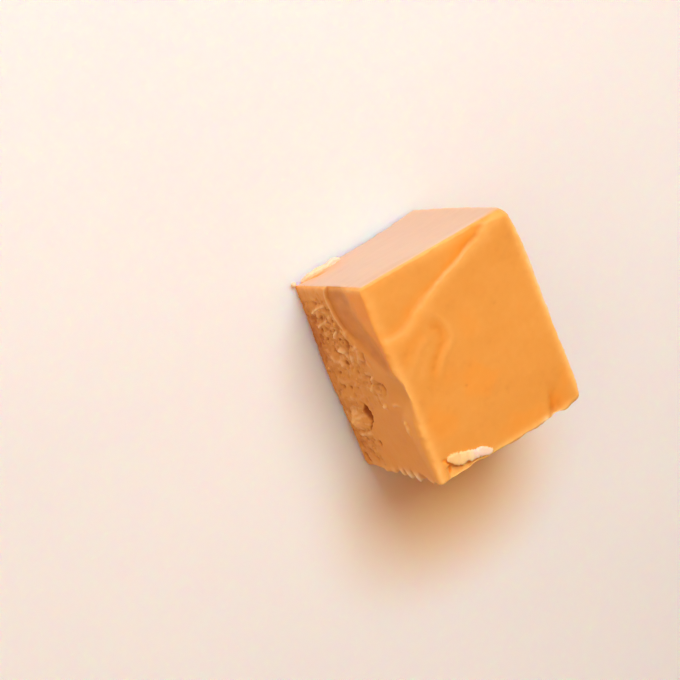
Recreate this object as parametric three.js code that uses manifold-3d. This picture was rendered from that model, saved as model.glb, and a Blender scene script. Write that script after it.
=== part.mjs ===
// A block of caramel fudge, hand cut from a slab about an inch deep and lying on the slab's flat
// underside. One end was cut clean, the other end and the near side tore and crumbled under the
// knife, and the poured top kept a fold, a swirl, a dent and a lifted sliver at its edge.
// Millimetres. x runs from the clean end to the torn end, y from the crumbled near side to the far
// side, and z up. The face positions below count x and y from the near clean corner of the top, and
// "down" from the poured top towards the base.
import * as THREE from "three";
import { ImprovedNoise } from "three/addons/math/ImprovedNoise.js";
import { mergeVertices } from "three/addons/utils/BufferGeometryUtils.js";
import Module from "manifold-3d";

// Driving sizes.
const LENGTH = 40.4;
const WIDTH = 33.8;
const THICKNESS = 25.4;
const SEGMENTS = { x: 40, y: 28, z: 22 };
const EDGE_CROWDING = 0.68; // 0 spaces the grid evenly, 1 crowds its lines against the edges

// How far each corner of the hand-cut block stands from the corner of a true box.
const CORNER_SHIFTS = {
  "clean near base": [-0.35, -1.1, 0],
  "clean far base": [-2.4, -4.3, 0],
  "torn near base": [-1.7, -2.7, 0],
  "torn far base": [-1.8, -3.3, 0],
  "clean near top": [0, 0, 0],
  "clean far top": [-0.3, 0.4, 0],
  "torn near top": [-0.3, -0.8, 0],
  "torn far top": [0.8, 1.1, 0],
};

// Edge rounding, and the corners and edges that wore or slumped more than the rest.
const EDGE_RADIUS = 0.45;
const BASE_RADIUS = 0.4;
const BASE_LIFT = 0.25; // the least height of the rounded edges round the flat base
const BASE_BOW = 0.15; // how far the base's long edges bow inwards at their middles
const WORN = [
  { at: [0, WIDTH, THICKNESS], reach: [5, 6, 9], extra: 1.7 },
  { at: [LENGTH, WIDTH, THICKNESS], reach: [4, 4, 7], extra: 0.9 },
  { at: [LENGTH / 2, WIDTH, THICKNESS], reach: [17, 4, 5], extra: 0.45 },
  { at: [30.7, 0, THICKNESS], reach: [10, 5, 6], extra: 1 },
  { at: [LENGTH, 0, 0], reach: [5, 4, 4], extra: 1.2 },
];

// The poured top: a low step along a fold, then raised (+) or sunk (-) strokes of the swirl beside it,
// a dent in the far torn corner, and a broken-down stretch of the torn edge.
const FOLD = {
  path: [
    [-0.6, 31.8], [0.4, 28.8], [2.2, 25], [3.6, 21.1], [4.8, 17.6], [6.1, 13.7], [7.6, 9.6], [8.5, 7.6],
    [9.6, 6], [10.5, 4.1], [10.4, -0.4],
  ],
  step: 0.22,
  valley: 0.06,
  fade: 7,
};
const SWIRL = [
  { height: 0.13, width: 0.8, path: [[10.2, 10.9], [14.1, 12.6], [16.4, 12.7], [18.9, 9.6], [22.5, 7]] },
  { height: -0.14, width: 1, path: [[12.2, 8.8], [12.9, 10.6], [16, 10.7], [18.3, 8.1], [22.6, 6]] },
  { height: 0.1, width: 0.9, path: [[13.8, 8.6], [15.2, 5.9], [17.4, 3.4], [18.9, 2.2]] },
  { height: 0.05, width: 1.3, path: [[15.6, 8.1], [18.9, 4.8], [20.8, 3.2]] },
];
const TOP_DENT = { x: [33.5, 38], y: [26.3, -0.28], end: [27, 31.5], depth: 0.55 };
const BROKEN_EDGE = { x: [37.3, 37.9], y: [1.9, 2.4, 8.4, 10.4], depth: 0.75 };

// Where the torn end meets the top, as [y, how far past the true edge].
const TORN_EDGE = [
  [0, 0], [1, -0.3], [2.5, -0.7], [4, -0.4], [6.3, -0.4], [8.2, -0.85], [9.8, -0.6], [11.6, -1.5],
  [13.4, -1.2], [15.8, 0.15], [17.6, 0.25], [20, -0.1], [22.3, 0.35], [24.6, -0.2], [26.7, -0.5],
  [27.7, -0.3], [29, 0.4], [31, 0.2], [33.8, -0.2],
];

// The crumbled side, as [x, down]. Its upper band swells out past the true edge by NEAR_SWELL, as
// [x, out], and ends at BAND_END. Below it a smooth hollow runs down to a crisp ledge, the upper limit
// of the crumbling. Then come a swollen foot, a bite out of the top edge, ridges, and pits.
const NEAR_SWELL = [
  [0, 0.33], [3, 0.33], [6, 0.42], [9, 0.4], [11, 0.32], [13, 0.38], [16.8, 0.42], [19, 0.05], [21, 0],
];
const BAND_END = [
  [0, 6.3], [4.3, 5.8], [6.4, 4.9], [8.5, 3.9], [10.5, 2.4], [12.6, 1.2], [14.6, 0.6], [18, 0.3], [22, 2],
];
const LEDGE = [
  [0, 13], [1, 14], [2.4, 14.6], [4, 14.5], [5.7, 14.3], [7.8, 13.4], [9.4, 12.3], [11, 10.6], [14, 8],
  [17, 5],
];
const HOLLOW_DEPTH = 0.5;
const FOOT_SWELL = { at: [20, 24.5], reach: [12, 7], height: 0.6 };
const CRUMBLE_TOP = [
  [0, 13.8], [3, 14.8], [7, 13.4], [10, 12], [13.7, 10.6], [15, 8.8], [18, 7.8], [20, 5.4], [22, 5.2],
  [24.5, 8], [26, 11], [28.5, 15], [34, 15.5], [41, 16.5],
];
const SIDE_BITE = { at: [22, 0], reach: [4.2, 4.6], depth: 1 };
const RIDGES = [
  { height: 0.35, width: 0.5, path: [[4, 16], [4.4, 18.3], [5.9, 22.3]] },
  { height: 0.35, width: 0.5, path: [[7.1, 16.8], [7.5, 19.2], [8.8, 21.6]] },
  { height: 0.4, width: 0.55, path: [[13, 16.6], [13.8, 15], [15.4, 14.7]] },
  { height: 0.35, width: 0.5, path: [[12.8, 10.1], [14.3, 10.9], [16, 11.4]] },
  { height: 0.35, width: 0.5, path: [[18.4, 8.8], [20, 9.7], [21.6, 10.8]] },
  { height: 0.35, width: 0.5, path: [[33, 22.3], [32.5, 20], [32.2, 18.4]] },
  { height: 0.25, width: 0.45, path: [[27, 3.5], [28.5, 3.7], [30.2, 3.7]] },
];
const SIDE_PITS = [
  [11.4, 13.4, 0.8, 0.9], [16.2, 16.2, 0.8, 1.2], [18, 13.6, 0.7, 0.7], [20.1, 7.2, 1, 0.5],
  [21.6, 18.1, 0.7, 0.7], [9.4, 20.4, 0.7, 0.7], [12.6, 23, 0.7, 0.6], [34, 16.1, 0.8, 1],
  [38.6, 23.8, 0.8, 0.8], [18.3, 19.8, 0.7, 0.6],
];
const SCOOP = { at: [27, 16.2], size: [2.1, 1.7, 1.1], turn: [0, 0.25, 0] };
const CRACK = { from: [28.8, 15.9], to: [31.5, 17.9], width: 0.35, depth: 1.1 };
const LOOSE_LUMP = { at: [29.3, 20], reach: [1.5, 2.3], height: 1 };

// What stands proud: slivers lifted by the knife, and the teeth torn along one upright edge, which
// stands back between them. The top sliver's rows are [x, y, lift, width]. Those of the curl, along the
// foot of the clean end, are [y, outward reach, height of its upper face, width].
const TOP_SLIVER = {
  rows: [
    [36.1, 2.7, 0.02, 1.9], [37.1, 4.7, 0.07, 2.4], [37.6, 6.4, 0.08, 2.2], [38.1, 7.9, 0.07, 1.9],
    [38.2, 9, 0.07, 1.9], [38.7, 10.1, 0.05, 1.7], [39.4, 11.8, 0, 1.5],
  ],
  across: [0.93, -0.37, 0],
  thickness: 0.7,
};
const BASE_CURL = {
  rows: [
    [0.4, 0.6, 1, 1.3], [1.8, 0.9, 1.6, 1.5], [3.4, 0.95, 2.1, 1.5], [5, 0.9, 2.4, 1.5], [6.5, 0.95, 2.6, 1.6],
    [7.6, 0.95, 2.5, 1.9], [8.6, 0.7, 2.4, 1.9], [9.6, 0.35, 2.2, 1.7],
  ],
  across: [-0.89, 0, 0.45],
  thickness: 1.2,
};
const CORNER_CRUMB = { at: [-0.8, -1.35, 0.6], size: [0.6, 0.6, 0.6], detail: 1 };
const CURL_GROOVE = { at: [4, 22.8], reach: [3.2, 1.6], depth: 0.4 };
const TEETH = [[2.9, 0.5], [7.7, 1.5], [10.3, 1.3], [12.5, 0.9], [15.6, 0.4], [18.8, 0.4], [22.4, 0.4]];
const TOOTH_BASE = 1;
const TEETH_STAND_BACK = 1.7;

// Crumbs fused to the torn faces, and the seed of their places.
const CRUMB_COUNT = 40;
const CRUMB_RADII = [0.45, 0.8];
const SEED = 11;

const noise = new ImprovedNoise();
const { clamp, lerp, smoothstep } = THREE.MathUtils;
const bell = (distance, reach) => Math.exp(-((distance / reach) ** 2));

// A smooth mound of height 1 round a point, with its own reach along each axis.
function mound(point, at, reach) {
  return Math.exp(-point.reduce((sum, value, i) => sum + ((value - at[i]) / reach[i]) ** 2, 0));
}

// A point's distance from a path, its share of the way along it, and its side: 1 on the left of the
// path's run, -1 on the right.
function follow(u, v, path) {
  let best = { distance: Infinity, along: 0, side: 1 };
  for (let i = 0; i + 1 < path.length; i++) {
    const [[ax, ay], [bx, by]] = [path[i], path[i + 1]];
    const squared = (bx - ax) ** 2 + (by - ay) ** 2;
    const t = clamp(((u - ax) * (bx - ax) + (v - ay) * (by - ay)) / squared, 0, 1);
    const distance = Math.hypot(u - lerp(ax, bx, t), v - lerp(ay, by, t));
    const side = Math.sign((bx - ax) * (v - ay) - (by - ay) * (u - ax));
    if (distance < best.distance) best = { distance, along: (i + t) / (path.length - 1), side };
  }
  return best;
}

// How strongly a point lies on a stroke: 1 on its path, fading across it and near its ends.
function onStroke(u, v, { path, width }) {
  const { distance, along } = follow(u, v, path);
  const taper = smoothstep(along, -0.05, 0.15) * (1 - smoothstep(along, 0.8, 1.1));
  return bell(distance, width) * taper;
}

// The second value of a line of points at a place along its first.
function valueAt(line, x) {
  const last = line.length - 1;
  const next = line.findIndex(([end], i) => i > 0 && (end > x || i === last));
  const [[ax, ay], [bx, by]] = [line[next - 1], line[next]];
  return lerp(ay, by, clamp((x - ax) / (bx - ax), 0, 1));
}

// Fine unevenness that fades to nothing on smooth faces.
function crumble(a, b, c, amount) {
  return amount * (noise.noise(a / 2.3, b / 2.3, c / 2.3) + 0.5 * noise.noise(a / 1.1, b / 1.1, c / 1.1));
}

// The share of crumbling on the near side, calmer towards the torn end.
function crumbledShare(x, down) {
  const below = smoothstep(down - valueAt(CRUMBLE_TOP, x), -0.3, 1.6);
  return below * smoothstep(x, 1.2, 3.6) * (1 - 0.4 * smoothstep(x, 30, 34));
}

function topRelief(x, y) {
  const { distance, side } = follow(x, y, FOLD.path);
  const beyond = distance * side;
  let height = FOLD.step * smoothstep(beyond, -0.5, 0.5) * bell(Math.max(beyond, 0), FOLD.fade);
  height -= FOLD.valley * bell(beyond + 0.9, 1);
  for (const stroke of SWIRL) height += stroke.height * onStroke(x, y, stroke);
  const behind = y - TOP_DENT.y[0] - TOP_DENT.y[1] * (x - 36);
  const dent = smoothstep(behind, -0.4, 1.2) * (1 - smoothstep(y, ...TOP_DENT.end));
  height -= TOP_DENT.depth * dent * smoothstep(x, ...TOP_DENT.x);
  const [from, whole, until, end] = BROKEN_EDGE.y;
  const brokenRun = smoothstep(y, from, whole) * (1 - smoothstep(y, until, end));
  height -= BROKEN_EDGE.depth * smoothstep(x, ...BROKEN_EDGE.x) * brokenRun;
  return height + 0.12 * Math.sin(x / 6.1 + 0.7) * Math.cos(y / 5.3) + crumble(x, y, 4, 0.05);
}

function nearRelief(x, down) {
  const bandEnd = valueAt(BAND_END, x);
  const past = Math.max(down - 0.6 * bandEnd, 0);
  let out = 1.1 * valueAt(NEAR_SWELL, x) * bell(past, 1.2 + 0.3 * bandEnd);
  out += FOOT_SWELL.height * mound([x, down], FOOT_SWELL.at, FOOT_SWELL.reach);
  const above = valueAt(LEDGE, x) - down;
  const brink = 0.8 + 2 * smoothstep(x, 8.5, 12);
  const hollow = smoothstep(down - bandEnd, -0.8, 2.4) * smoothstep(above, 0, brink);
  out -= HOLLOW_DEPTH * hollow * (1 - smoothstep(x, 11, 17));
  out -= SIDE_BITE.depth * mound([x, down], SIDE_BITE.at, SIDE_BITE.reach);
  out += LOOSE_LUMP.height * mound([x, down], LOOSE_LUMP.at, LOOSE_LUMP.reach);
  for (const ridge of RIDGES) out += ridge.height * onStroke(x, down, ridge);
  return out + crumble(x, down, 9, 0.08 + 0.45 * crumbledShare(x, down));
}

function cleanRelief(y, down) {
  const groove = CURL_GROOVE.depth * mound([y, down], CURL_GROOVE.at, CURL_GROOVE.reach);
  return 0.25 * Math.sin(y / 5.2 + 0.4) * smoothstep(down, 0, 3) - groove + crumble(y, down, 14, 0.05);
}

function tornRelief(y, down) {
  const low = 1 - smoothstep(down, 0, 7);
  const wave = 0.3 + 0.5 * Math.sin(y / 3.9 + 2.2) * bell(down - 8, 14);
  const rough = crumble(y, down, 19, 0.15 + 0.3 * smoothstep(down, 0.3, 2.5));
  return low * valueAt(TORN_EDGE, y) + (1 - low) * wave + rough;
}

function farRelief(x, down) {
  const dip = 0.35 * mound([x, down], [26, 0], [2.2, 5]);
  return 0.2 * Math.sin(x / 7.3) - dip + crumble(x, down, 24, 0.1);
}

// How far the torn upright edge stands back between its teeth.
function standBack(x, y, down) {
  const run = smoothstep(down, 0, 7) * (1 - smoothstep(down, 11, 17));
  return TEETH_STAND_BACK * run * bell(y, 1) * bell(LENGTH - x, 1.2);
}

// Moves a point of the plain box's surface to its place on the fudge.
function fudgePoint(point) {
  const size = [LENGTH, WIDTH, THICKNESS];
  const worn = WORN.reduce((sum, w) => sum + w.extra * mound(point, w.at, w.reach), 0);
  const radius = lerp(BASE_RADIUS, EDGE_RADIUS + worn, smoothstep(point[2], 0, 4));
  const inner = point.map((value, i) => clamp(value, radius, size[i] - radius));
  const facing = new THREE.Vector3(...point.map((value, i) => value - inner[i])).normalize();
  const [x, y, z] = inner.map((value, i) => value + radius * facing.getComponent(i));

  const placed = new THREE.Vector3(x, y, z);
  for (const [name, shift] of Object.entries(CORNER_SHIFTS)) {
    const alongX = name.startsWith("torn") ? x / LENGTH : 1 - x / LENGTH;
    const alongY = name.includes("far") ? y / WIDTH : 1 - y / WIDTH;
    const alongZ = name.endsWith("top") ? z / THICKNESS : 1 - z / THICKNESS;
    placed.addScaledVector(new THREE.Vector3(...shift), alongX * alongY * alongZ);
  }

  const bow = BASE_BOW * (1 - smoothstep(z, 0, 3));
  const [u, v] = [x / LENGTH, y / WIDTH];
  placed.x += bow * 4 * v * (1 - v) * (1 - 2 * u);
  placed.y += bow * 4 * u * (1 - u) * (1 - 2 * v);
  if (z > 1e-6) placed.z = Math.max(placed.z, BASE_LIFT);

  const down = THICKNESS - z;
  const share = (component) => Math.max(component, 0) ** 2;
  placed.x -= share(-facing.x) * cleanRelief(y, down);
  placed.x += share(facing.x) * tornRelief(y, down);
  placed.y -= share(-facing.y) * nearRelief(x, down);
  placed.y += share(facing.y) * farRelief(x, down);
  placed.z += share(facing.z) * topRelief(x, y);
  placed.x -= standBack(x, y, down);
  return placed;
}

// The block as one closed mesh: a finely divided box whose every point is moved into place.
function blockGeometry() {
  const geometry = new THREE.BoxGeometry(2, 2, 2, SEGMENTS.x, SEGMENTS.y, SEGMENTS.z);
  const position = geometry.getAttribute("position");
  const graded = (t) => (1 - EDGE_CROWDING) * t + EDGE_CROWDING * Math.sin((Math.PI / 2) * t);
  const size = [LENGTH, WIDTH, THICKNESS];
  for (let i = 0; i < position.count; i++) {
    const unit = [position.getX(i), position.getY(i), position.getZ(i)];
    const onBox = unit.map((t, axis) => ((graded(t) + 1) / 2) * size[axis]);
    position.setXYZ(i, ...fudgePoint(onBox));
  }
  return geometry;
}

// A rough lump: an icosahedron pushed in and out, stretched, turned and set in place.
function lumpGeometry({ at, size, turn = [0, 0, 0], detail = 0, jitter = 0.22 }) {
  const geometry = mergeVertices(bare(new THREE.IcosahedronGeometry(1, detail)));
  const position = geometry.getAttribute("position");
  const corner = new THREE.Vector3();
  for (let i = 0; i < position.count; i++) {
    corner.fromBufferAttribute(position, i);
    const sample = corner.clone().multiplyScalar(3).add(new THREE.Vector3(...at));
    const push = 1 + 2 * jitter * noise.noise(...sample);
    position.setXYZ(i, ...corner.multiplyScalar(push));
  }
  geometry.scale(...size);
  geometry.applyMatrix4(new THREE.Matrix4().makeRotationFromEuler(new THREE.Euler(...turn)));
  return geometry.translate(...at);
}

// A ragged strip that tapers to both ends of its path. Its widths lie in the direction across, and its
// thickness is square to that.
function sliverGeometry({ path, widths, across, thickness }) {
  const curve = new THREE.CatmullRomCurve3(path.map((point) => new THREE.Vector3(...point)));
  const widthLine = widths.map((width, i) => [i / (widths.length - 1), width]);
  const wide = new THREE.Vector3(...across);
  const thick = wide.clone().cross(new THREE.Vector3(0, 1, 0)).normalize();
  const [steps, sides] = [18, 10];
  const geometry = new THREE.CylinderGeometry(1, 1, 1, sides, steps);
  const position = geometry.getAttribute("position");
  const corner = new THREE.Vector3();
  for (let i = 0; i < position.count; i++) {
    corner.fromBufferAttribute(position, i);
    const along = clamp(corner.y + 0.5, 0, 1);
    const full = Math.sqrt(Math.max(0.04, 1 - (2 * along - 1) ** 6)) / 2;
    const offset = wide.clone().multiplyScalar(corner.x * full * valueAt(widthLine, along));
    offset.addScaledVector(thick, corner.z * thickness * full);
    const place = curve.getPoint(along);
    const ragged = 1 + 0.3 * noise.noise(place.x + offset.x * 2, place.y * 1.4, place.z + offset.z * 2);
    position.setXYZ(i, ...place.addScaledVector(offset, ragged));
  }
  return geometry;
}

const bare = (geometry) => geometry.deleteAttribute("normal").deleteAttribute("uv");

function solidFrom(geometry) {
  const merged = mergeVertices(bare(geometry), 1e-4);
  return new wasm.Manifold(new wasm.Mesh({
    numProp: 3,
    vertProperties: new Float32Array(merged.getAttribute("position").array),
    triVerts: new Uint32Array(merged.index.array),
  }));
}

function geometryFrom(solid) {
  const { vertProperties, triVerts } = solid.getMesh();
  return new THREE.BufferGeometry()
    .setAttribute("position", new THREE.BufferAttribute(new Float32Array(vertProperties), 3))
    .setIndex(new THREE.BufferAttribute(new Uint32Array(triVerts), 1));
}

// Places on the finished surface, given as a face and its two coordinates.
function onNearSide(x, down) {
  return fudgePoint([x, 0, THICKNESS - down]);
}

function onTornEnd(y, down) {
  return fudgePoint([LENGTH, y, THICKNESS - down]);
}

function cutPits(solid) {
  for (const [x, down, radius, depth] of SIDE_PITS) {
    const place = onNearSide(x, down);
    const pit = lumpGeometry({ at: [place.x, place.y, place.z], size: [radius, depth, radius * 0.8] });
    solid = solid.subtract(solidFrom(pit));
  }
  const mouth = onNearSide(...SCOOP.at);
  const scoop = lumpGeometry({
    at: [mouth.x, mouth.y, mouth.z],
    size: SCOOP.size,
    turn: SCOOP.turn,
    detail: 1,
  });
  const [start, end] = [onNearSide(...CRACK.from), onNearSide(...CRACK.to)];
  const middle = start.clone().lerp(end, 0.5);
  const crack = lumpGeometry({
    at: [middle.x, middle.y, middle.z],
    size: [start.distanceTo(end) * 0.62, CRACK.depth, CRACK.width],
    turn: [0, Math.atan2(start.z - end.z, end.x - start.x), 0],
  });
  return solid.subtract(solidFrom(scoop)).subtract(solidFrom(crack));
}

function slivers() {
  const topPath = TOP_SLIVER.rows.map(([x, y, lift]) => {
    const place = fudgePoint([x, y, THICKNESS]);
    return [place.x, place.y, THICKNESS + lift];
  });
  const [nearFoot, farFoot] = [CORNER_SHIFTS["clean near base"][0], CORNER_SHIFTS["clean far base"][0]];
  const curlPath = BASE_CURL.rows.map(([y, reach, height]) => {
    const foot = lerp(nearFoot, farFoot, y / WIDTH);
    return [foot - reach + 0.5, y, height - BASE_CURL.thickness / 2];
  });
  return [[TOP_SLIVER, topPath], [BASE_CURL, curlPath]].map(([strip, path]) =>
    sliverGeometry({ ...strip, path, widths: strip.rows.map((row) => row[3]) }));
}

function teeth() {
  return TEETH.map(([down, length]) => {
    const root = fudgePoint([LENGTH, 0.6, THICKNESS - down]);
    const tooth = new THREE.ConeGeometry(TOOTH_BASE, length + TOOTH_BASE, 6, 1);
    tooth.rotateZ(-Math.PI / 2 - 0.25);
    tooth.rotateY(0.35);
    return tooth.translate(root.x + (length - TOOTH_BASE) / 2, root.y + 0.3, root.z);
  });
}

function crumbs() {
  const random = seededRandom(SEED);
  const placed = [];
  for (let i = 0; i < CRUMB_COUNT; i++) {
    const onNear = random() < 0.7;
    const down = lerp(2, THICKNESS - 1.2, random());
    const along = random();
    const x = lerp(4, LENGTH - 2, along);
    const place = onNear ? onNearSide(x, down) : onTornEnd(lerp(1, WIDTH - 2, along), down);
    const radius = lerp(...CRUMB_RADII, random() ** 2);
    const turn = [random() * 3, random() * 3, random() * 3];
    if (onNear && crumbledShare(x, down) < 0.35) continue;
    placed.push(lumpGeometry({ at: place.toArray(), size: [radius * 1.2, radius, radius * 0.9], turn }));
  }
  return placed;
}

// Joins what stands proud to the block, kept clear of the table so that only the flat base touches it.
function joinRaised(block, raised) {
  const depth = THICKNESS;
  const table = new THREE.BoxGeometry(4 * LENGTH, 4 * WIDTH, depth).translate(0, 0, BASE_LIFT - depth / 2);
  const proud = wasm.Manifold.union(raised.map(solidFrom)).subtract(solidFrom(table));
  return block.add(proud);
}

// The same run of numbers from 0 to 1 on every build.
function seededRandom(seed) {
  let state = seed;
  return () => {
    state = (Math.imul(state, 1664525) + 1013904223) >>> 0;
    return state / 2 ** 32;
  };
}

const wasm = await Module();
wasm.setup();

const raised = [...slivers(), ...teeth(), ...crumbs(), lumpGeometry(CORNER_CRUMB)];
const fudgeSolid = joinRaised(cutPits(solidFrom(blockGeometry())), raised);
const pieces = fudgeSolid.asOriginal().simplify(0.003).decompose();
pieces.sort((a, b) => b.volume() - a.volume());
const fudgeGeometry = geometryFrom(pieces[0]);
fudgeGeometry.computeBoundingBox();
const middle = fudgeGeometry.boundingBox.getCenter(new THREE.Vector3());

const fudgeMaterial = new THREE.MeshStandardMaterial({ color: 0xe0954f, roughness: 0.5, metalness: 0 });
const fudge = new THREE.Mesh(fudgeGeometry, fudgeMaterial);
fudge.name = "fudge";
fudge.position.set(-middle.x, -middle.y, 0);

const part = new THREE.Group();
part.add(fudge);

export default part;
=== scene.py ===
"""A hand-cut block of caramel fudge: its fine relief, crumbs and finish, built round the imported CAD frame.

Relief is worked out in millimetres in the block's own frame: x runs from the clean cut end to the torn
end, y from the crumbled near side to the far side, both counted from the near clean corner of the
poured top, and "down" is measured from the top towards the base.
"""

import math

import bmesh
import bpy
import numpy as np
from bpy.props import FloatProperty, FloatVectorProperty, IntProperty, PointerProperty
from mathutils import Matrix, Vector, kdtree, noise


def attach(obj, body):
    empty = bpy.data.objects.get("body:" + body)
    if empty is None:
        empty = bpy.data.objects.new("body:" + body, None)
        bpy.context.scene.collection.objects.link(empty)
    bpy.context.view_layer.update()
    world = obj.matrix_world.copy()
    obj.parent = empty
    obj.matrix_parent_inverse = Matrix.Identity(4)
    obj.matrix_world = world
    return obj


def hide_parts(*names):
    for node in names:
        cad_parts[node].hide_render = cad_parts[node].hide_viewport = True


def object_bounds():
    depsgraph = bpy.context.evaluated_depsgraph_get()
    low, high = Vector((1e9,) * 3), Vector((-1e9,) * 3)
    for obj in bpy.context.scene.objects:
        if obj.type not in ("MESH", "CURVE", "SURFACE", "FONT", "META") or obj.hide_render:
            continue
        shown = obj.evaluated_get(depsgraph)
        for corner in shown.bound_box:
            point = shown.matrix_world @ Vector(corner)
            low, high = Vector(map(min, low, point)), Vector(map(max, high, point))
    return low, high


bl_info = {
    "name": "Caramel fudge block",
    "version": (1, 0, 0),
    "blender": (4, 5, 0),
    "location": "3D View > Sidebar > Fudge",
    "description": "Builds a hand-cut block of caramel fudge with its crumbs, finish and studio stage",
    "category": "Add Mesh",
}

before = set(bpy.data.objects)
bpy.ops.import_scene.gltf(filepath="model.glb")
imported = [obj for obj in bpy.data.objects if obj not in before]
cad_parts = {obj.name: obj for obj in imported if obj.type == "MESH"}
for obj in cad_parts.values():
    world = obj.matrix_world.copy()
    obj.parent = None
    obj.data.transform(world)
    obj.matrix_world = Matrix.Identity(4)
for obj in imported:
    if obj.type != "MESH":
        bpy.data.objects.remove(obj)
cad_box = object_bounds()

MM = 0.001
CAD_NODE = "fudge"
BODY = "root"

# How far each corner of the hand-cut block stands from the corner of a true box, as
# (x side, y side, z side, shift), with side 0 for the clean, near and base sides.
CORNER_SHIFTS = (
    (0, 0, 0, (-0.35, -1.1, 0)),
    (0, 1, 0, (-2.4, -4.3, 0)),
    (1, 0, 0, (-1.7, -2.7, 0)),
    (1, 1, 0, (-1.8, -3.3, 0)),
    (0, 1, 1, (-0.3, 0.4, 0)),
    (1, 0, 1, (-0.3, -0.8, 0)),
    (1, 1, 1, (0.8, 1.1, 0)),
)

# Corners and edges that wore or slumped more than the rest: share of the size, reach, extra radius.
WORN = (
    ((0, 1, 1), (5, 6, 9), 1.7),
    ((1, 1, 1), (4, 4, 7), 0.9),
    ((0.5, 1, 1), (17, 4, 5), 0.45),
    ((0.76, 0, 1), (10, 5, 6), 1.0),
    ((1, 0, 0), (5, 4, 4), 1.2),
)

# The poured top, as (x, y). The fold is a low step along a line. The swirl is strokes of (height,
# lightness, width, path). The dent at the far corner is (where it starts and is whole along x, where it
# starts along y and how that slants, where it fades and ends along y, depth), the bump is (place, reach,
# height), and the spots are (x, y, radius, depth).
FOLD_PATH = (
    (-0.6, 31.8), (0.4, 28.8), (1, 27.2), (2.2, 25), (2.8, 23.4), (3.6, 21.1), (4.3, 19.4), (4.8, 17.6),
    (5.5, 15.7), (6.1, 13.7), (6.8, 11.8), (7.6, 9.6), (8.5, 7.6), (9.6, 6), (10.5, 4.1), (10.6, 1.8),
    (10.4, -0.4),
)
FOLD_STEP = 0.22
FOLD_VALLEY = 0.05
FOLD_LIP = 0.05
FOLD_FADE = 7
SWIRL = (
    (0.12, 0.6, 0.7, (
        (10.2, 10.9), (12, 11.9), (14.1, 12.6), (16.4, 12.7), (17.8, 11.2), (18.9, 9.6), (20.2, 8.4),
        (22.5, 7),
    )),
    (-0.13, -0.7, 0.95, (
        (12.2, 8.8), (12.9, 10.6), (14.6, 11.1), (16, 10.7), (17.1, 9.5), (18.3, 8.1), (19.8, 7.1), (22.6, 6),
    )),
    (0.1, 0.5, 0.75, ((13.8, 8.6), (14.3, 7.2), (15.2, 5.9), (16.3, 4.7), (17.4, 3.4), (18.9, 2.2))),
    (-0.05, -0.5, 1.3, ((12.6, 7.8), (12.7, 6), (13.4, 4.4), (14.9, 2.9), (16.6, 1.4))),
    (0.05, 0.35, 1.2, ((15.6, 8.1), (17.2, 6.5), (18.9, 4.8), (20.8, 3.2))),
    (0.04, 0.35, 1.3, ((8.3, 9.4), (9.4, 10), (10.6, 11.4))),
    (0.03, 0.2, 1.2, ((9.5, 15.5), (12, 18), (15.5, 18.8), (19.5, 18.2), (23.3, 16.6), (26.7, 13.9))),
    (0.03, 0.2, 1, ((24, 6.4), (27, 5), (30.5, 4.6))),
)
TOP_DENT = ((33.5, 38), (26.3, -0.28), (27, 31.5), 0.55)
TOP_BUMP = ((40.6, 24.3), (0.8, 0.6), 0.35)
BROKEN_EDGE_X = (37.3, 37.9)
BROKEN_EDGE_Y = (1.8, 2.9, 8.4, 10.4)
BROKEN_EDGE_DEPTH = 0.75
TOP_CRACK = ((36, 2.2), (36.5, 2.7), (37.3, 3), (38.1, 3.1), (39, 2.8))
TOP_SPOTS = (
    (25.7, 11.8, 0.4, 0.25), (11, 19.5, 0.8, 0.1), (16, 26, 0.8, 0.08), (14.8, 23.3, 0.6, 0.08),
    (30.5, 19, 0.7, 0.08), (33, 9.5, 0.6, 0.08),
)

# Where the torn end meets the top, as (y, how far past the true edge), and how high it bulges below that.
TORN_EDGE = (
    (0, 0), (1, -0.3), (2.5, -0.7), (4, -0.4), (6.3, -0.4), (7.6, -0.85), (8.7, -0.85), (9.8, -0.6),
    (11.6, -1.5), (13.4, -1.2), (14.6, -0.4), (15.8, 0.15), (17.6, 0.25), (20, -0.1), (22.3, 0.35),
    (23.6, 0.2), (24.6, -0.2), (25.5, -0.05), (26.7, -0.5), (27.7, -0.3), (29, 0.4), (30, 0.5),
    (31, 0.2), (33.8, -0.2),
)
TORN_BULGE = 0.3
TORN_WAVE = 0.5

# The near side, as (x, down). Its upper band swells out past the true edge by NEAR_SWELL, as (x, out),
# and ends at BAND_END. The smooth hollow below it runs down to a crisp ledge, and the crumbling starts
# below that. Towards the torn end a paler band, down to PALE_END, takes the place of the hollow. Single
# marks are (place, reach, height or depth), ridges and grooves (height or depth, width, path), pits
# (x, down, radius, depth), and the cavity has a corner list.
NEAR_SWELL = (
    (0, 0.33), (3, 0.33), (6, 0.42), (9, 0.4), (11, 0.32), (13, 0.38), (15, 0.4), (16.8, 0.42), (19, 0.05),
    (21, 0),
)
BAND_END = (
    (0, 6.3), (4.3, 5.8), (6.4, 4.9), (8.5, 3.9), (10.5, 2.4), (12.6, 1.2), (14.6, 0.6), (18, 0.3), (22, 2),
)
PALE_END = ((22, 1), (24.1, 2.7), (26.9, 4.6), (28.9, 4.2), (30.9, 3.5), (33, 3.2), (37, 1.9), (41, 1.5))
FOOT_SWELL = ((20, 24.5), (12, 7), 0.6)
LEDGE = (
    (0, 13), (1, 14), (2.4, 14.6), (4, 14.5), (5.7, 14.3), (7.8, 13.4), (9.4, 12.3), (11, 10.6), (14, 8),
    (17, 5),
)
LEDGE_HEIGHT = 0.14
HOLLOW_DEPTH = 0.5
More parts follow.
